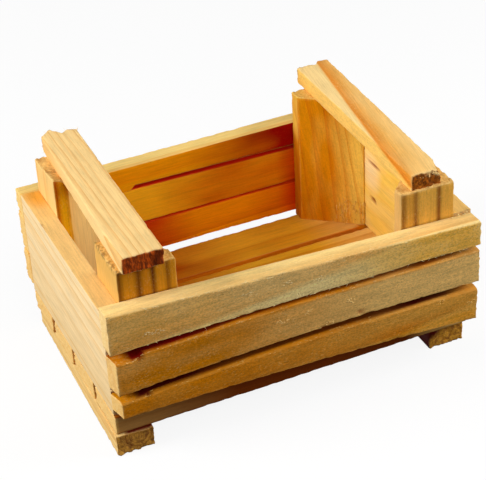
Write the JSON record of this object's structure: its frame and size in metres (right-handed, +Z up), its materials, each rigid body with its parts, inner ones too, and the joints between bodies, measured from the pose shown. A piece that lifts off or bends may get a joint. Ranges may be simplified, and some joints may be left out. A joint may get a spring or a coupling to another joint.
{
  "type": "wooden crate",
  "caption": "Small open wooden crate with slatted long sides and floor, solid end boards, triangular corner posts that carry a raised rail over each end, and runners below.",
  "frame": {"origin": "on the ground under the middle of the crate's box", "axes": "+X along the slatted sides towards the right end, +Y towards the back, +Z up"},
  "size_m": [0.151, 0.1094, 0.0836],
  "materials": {
    "slat_wood": "rough sawn, bare",
    "board_wood": "rough sawn, bare",
    "post_wood": "rough sawn, bare",
    "rail_wood": "rough sawn, bare",
    "floor_wood": "rough sawn, bare",
    "runner_wood": "rough sawn, bare",
    "brad_steel": "plain drawn wire"
  },
  "bodies": {
    "root": {"front_slat_bottom": "slat_wood", "front_slat_middle": "slat_wood", "front_slat_top": "slat_wood", "back_slat_bottom": "slat_wood", "back_slat_middle": "slat_wood", "back_slat_top": "slat_wood", "left_end_board": "board_wood", "right_end_board": "board_wood", "front_left_post": "post_wood", "back_left_post": "post_wood", "front_right_post": "post_wood", "back_right_post": "post_wood", "left_rail": "rail_wood", "right_rail": "rail_wood", "floor_slat_1": "floor_wood", "floor_slat_2": "floor_wood", "floor_slat_3": "floor_wood", "floor_slat_4": "floor_wood", "left_runner": "runner_wood", "right_runner": "runner_wood", "front_slat_brads": "brad_steel", "back_slat_brads": "brad_steel", "end_board_brads": "brad_steel", "rail_brads": "brad_steel", "foot_brads": "brad_steel"}
  },
  "joints": []
}
